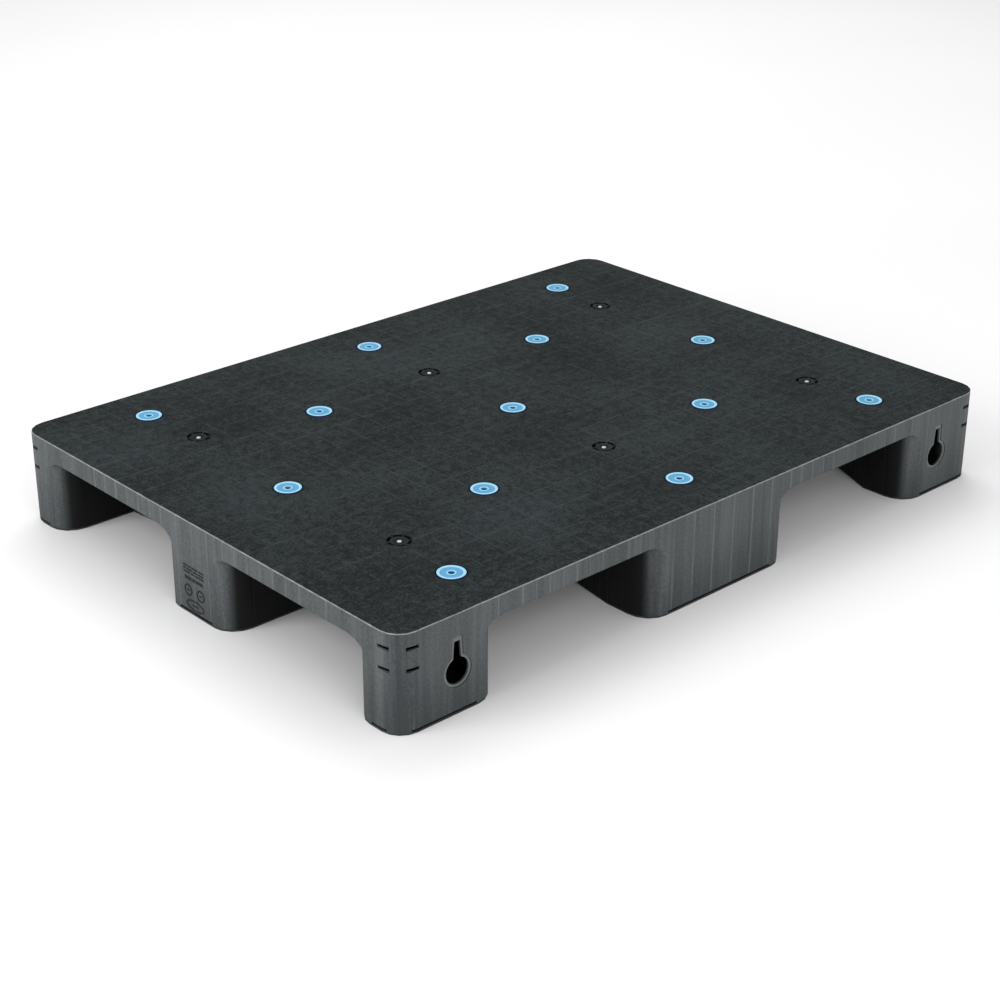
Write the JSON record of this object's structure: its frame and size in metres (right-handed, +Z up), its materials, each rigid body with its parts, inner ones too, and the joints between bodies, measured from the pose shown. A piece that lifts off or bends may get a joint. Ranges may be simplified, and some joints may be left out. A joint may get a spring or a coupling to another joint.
{
  "type": "plastic pallet",
  "caption": "Nine-legged black plastic pallet with a closed ribbed deck, four-way fork entry, pale blue anti-slip grommets and drain inserts.",
  "frame": {"origin": "centre of the bounding box at floor level", "axes": "+X along the long side, +Y along the short side away from the front, +Z up"},
  "size_m": [1.1, 0.8, 0.135],
  "materials": {
    "moulding": "fine-grained black recycled polyolefin",
    "foot_plate": "black polyolefin, slightly duller than the moulding",
    "grommet": "pale blue anti-slip elastomer",
    "drain_insert": "black polyolefin, satin"
  },
  "bodies": {
    "root": {"deck_moulding": "moulding", "foot_plate_front_left": "foot_plate", "foot_plate_centre_left": "foot_plate", "foot_plate_back_left": "foot_plate", "foot_plate_front_middle": "foot_plate", "foot_plate_centre_middle": "foot_plate", "foot_plate_back_middle": "foot_plate", "foot_plate_front_right": "foot_plate", "foot_plate_centre_right": "foot_plate", "foot_plate_back_right": "foot_plate", "grommet_01": "grommet", "grommet_02": "grommet", "grommet_03": "grommet", "grommet_04": "grommet", "grommet_05": "grommet", "grommet_06": "grommet", "grommet_07": "grommet", "grommet_08": "grommet", "grommet_09": "grommet", "grommet_10": "grommet", "grommet_11": "grommet", "grommet_12": "grommet", "grommet_13": "grommet", "drain_insert_01": "drain_insert", "drain_insert_02": "drain_insert", "drain_insert_03": "drain_insert", "drain_insert_04": "drain_insert", "drain_insert_05": "drain_insert", "drain_insert_06": "drain_insert"}
  },
  "joints": []
}
